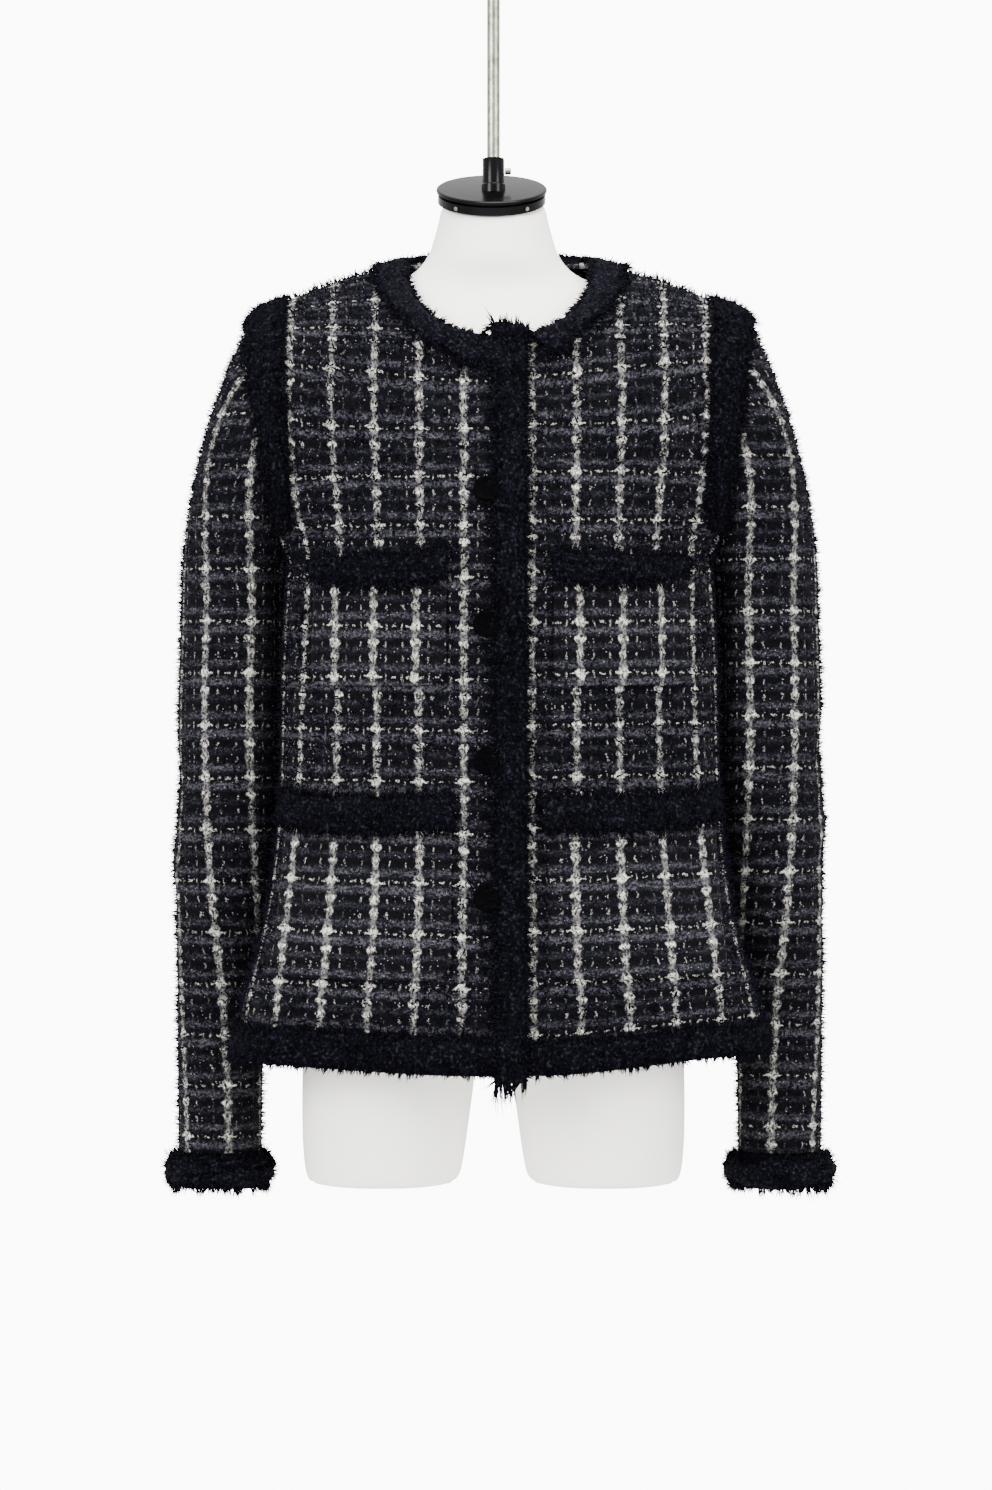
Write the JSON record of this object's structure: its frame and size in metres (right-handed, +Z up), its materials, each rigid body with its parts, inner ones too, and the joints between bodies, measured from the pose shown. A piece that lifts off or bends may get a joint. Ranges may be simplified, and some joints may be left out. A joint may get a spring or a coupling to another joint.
{
  "type": "fringed tweed jacket on a hanging dress form",
  "caption": "Collarless boxy tweed jacket edged with fringe, with patch pockets and a buttoned front, worn by a hanging headless dress form.",
  "frame": {"origin": "centre of the top end of the rod that the form hangs from", "axes": "+Z up along the rod, -Y the jacket's front, +X to the wearer's left"},
  "size_m": [0.5218, 0.2838, 0.938],
  "materials": {
    "tweed": "bouclé tweed, black ground with grey bands and white knots, fuzzy",
    "fringe_yarn": "black yarn fringe, matt and fuzzy",
    "button": "matt black, smooth",
    "form_shell": "off-white, smooth satin shell",
    "black_lacquer": "black gloss",
    "steel": "galvanised, mottled"
  },
  "bodies": {
    "root": {"back": "tweed", "front_left": "tweed", "front_right": "tweed", "sleeve_left": "tweed", "sleeve_right": "tweed", "pocket_upper_left": "tweed", "pocket_upper_right": "tweed", "pocket_lower_left": "tweed", "pocket_lower_right": "tweed", "pocket_trim_upper_left": "fringe_yarn", "pocket_trim_upper_right": "fringe_yarn", "pocket_trim_lower_left": "fringe_yarn", "pocket_trim_lower_right": "fringe_yarn", "hem_trim_left": "fringe_yarn", "hem_trim_right": "fringe_yarn", "hem_trim_back": "fringe_yarn", "front_trim": "fringe_yarn", "neck_trim": "fringe_yarn", "armhole_trim_left": "fringe_yarn", "armhole_trim_right": "fringe_yarn", "cuff_trim_left": "fringe_yarn", "cuff_trim_right": "fringe_yarn", "button_1": "button", "button_2": "button", "button_3": "button", "button_4": "button", "dress_form": "form_shell", "neck_cap": "black_lacquer", "collar": "black_lacquer", "rod": "steel", "collar_screw": "steel", "cap_screw_1": "steel", "cap_screw_2": "steel", "cap_screw_3": "steel", "cap_screw_4": "steel"}
  },
  "joints": []
}
